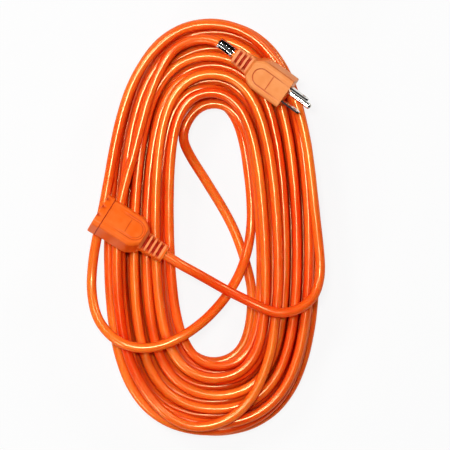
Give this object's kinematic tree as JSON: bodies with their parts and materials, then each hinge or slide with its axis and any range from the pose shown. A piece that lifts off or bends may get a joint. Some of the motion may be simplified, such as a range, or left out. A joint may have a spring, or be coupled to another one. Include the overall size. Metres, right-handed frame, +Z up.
{
  "type": "extension cord",
  "caption": "Extension cord wound into a flat oval hank, its grounded plug and matching connector lying on top of the turns.",
  "frame": {"origin": "middle of the wound pile, on the surface that it lies on", "axes": "+Z up from that surface, +Y along the hank towards the arch that the plug lies in, +X to the right"},
  "size_m": [0.1878, 0.3312, 0.0723],
  "materials": {
    "cord_jacket": "satin-gloss vinyl",
    "plug_moulding": "satin moulded vinyl",
    "connector_moulding": "satin moulded vinyl",
    "plated_blades": "bright nickel plate",
    "brass_contacts": "bright stamped brass",
    "copper_strands": "bare copper",
    "black_insulation": "satin",
    "white_insulation": "satin",
    "green_insulation": "satin",
    "foil": "bright foil tag"
  },
  "bodies": {
    "hank": {"coil_lower": "cord_jacket", "coil_upper": "cord_jacket", "crossing_stretch": "cord_jacket", "plug_tail": "cord_jacket", "connector_tail": "cord_jacket"},
    "plug_end": {"plug_grip": "plug_moulding", "plug_cord_end": "cord_jacket", "plug_blade_block": "plug_moulding", "plug_hot_blade": "plated_blades", "plug_neutral_blade": "plated_blades", "plug_ground_pin": "plated_blades", "plug_hot_wire": "black_insulation", "plug_neutral_wire": "white_insulation", "plug_ground_wire": "green_insulation", "plug_hot_strands": "copper_strands", "plug_neutral_strands": "copper_strands", "plug_ground_strands": "copper_strands", "foil_band": "foil"},
    "connector_end": {"connector_grip": "connector_moulding", "connector_cord_end": "cord_jacket", "connector_contact_block": "connector_moulding", "connector_hot_contact": "brass_contacts", "connector_neutral_contact": "brass_contacts", "connector_ground_contact": "brass_contacts", "connector_hot_wire": "black_insulation", "connector_neutral_wire": "white_insulation", "connector_ground_wire": "green_insulation", "connector_hot_strands": "copper_strands", "connector_neutral_strands": "copper_strands", "connector_ground_strands": "copper_strands"}
  },
  "joints": [
    {"name": "plug_lift", "type": "hinge", "parent": "hank", "child": "plug_end", "pos_m": [-0.025, 0.141, 0.037], "axis": [-0.2998, -0.954, 0], "range_deg": [0, 60], "deforming": ["plug_tail"]},
    {"name": "connector_lift", "type": "hinge", "parent": "hank", "child": "connector_end", "pos_m": [0.014, -0.048, 0.0455], "axis": [0.5133, 0.8582, 0], "range_deg": [0, 60], "deforming": ["connector_tail"]}
  ]
}
